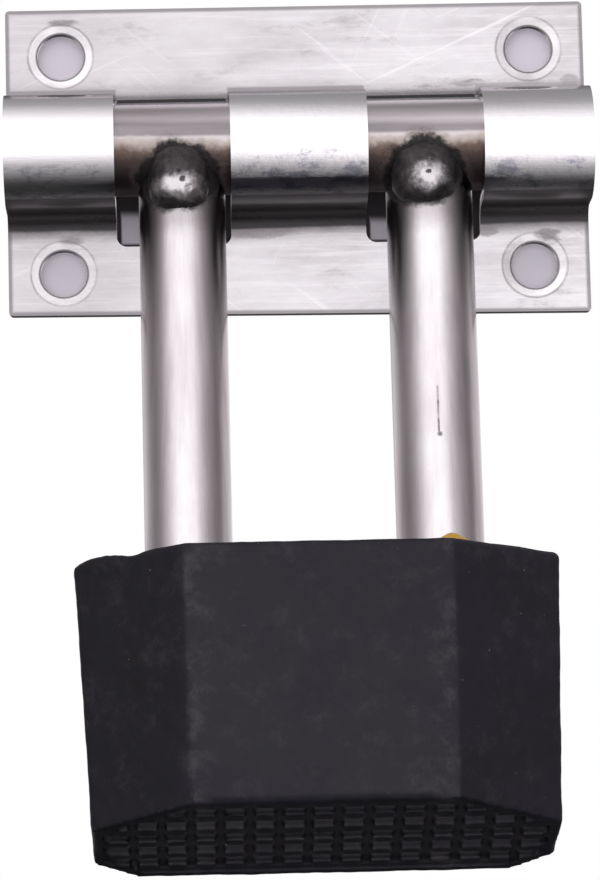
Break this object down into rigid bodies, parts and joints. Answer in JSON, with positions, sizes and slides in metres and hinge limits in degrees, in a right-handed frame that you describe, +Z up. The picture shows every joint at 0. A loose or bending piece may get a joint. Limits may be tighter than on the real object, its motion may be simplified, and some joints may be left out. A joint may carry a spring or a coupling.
{
  "type": "hinged door stop",
  "caption": "Hinged door stop: a pressed steel plate with a rolled hinge channel carries round legs that swing down and press a studded rubber shoe on the floor.",
  "frame": {"origin": "middle of the plate's back face, at the centre of the screw pattern, on the door's surface", "axes": "+Z up the door, +X to the right for someone facing the door, front of the part towards -Y"},
  "size_m": [0.068, 0.028, 0.1021],
  "materials": {
    "plate_steel": "ground stainless sheet, polished on the channel",
    "rod_steel": "bare rod, heat tinted brown beside the welds",
    "leg_steel": "polished bar with a fine lengthwise grain",
    "weld_metal": "dark oxide, pitted, half glossy",
    "black_rubber": "matt moulded rubber, dusty",
    "glue": "hard amber adhesive"
  },
  "bodies": {
    "base": {"base_plate": "plate_steel"},
    "leg_frame": {"pivot_rod": "rod_steel", "left_leg": "leg_steel", "right_leg": "leg_steel", "left_weld": "weld_metal", "right_weld": "weld_metal", "rubber_shoe": "black_rubber", "left_glue": "glue", "right_glue": "glue"}
  },
  "joints": [
    {"name": "leg_swing", "type": "hinge", "parent": "base", "child": "leg_frame", "pos_m": [0, -0.0064, 0.00045], "axis": [-1, 0, 0], "range_deg": [0, 145]}
  ]
}
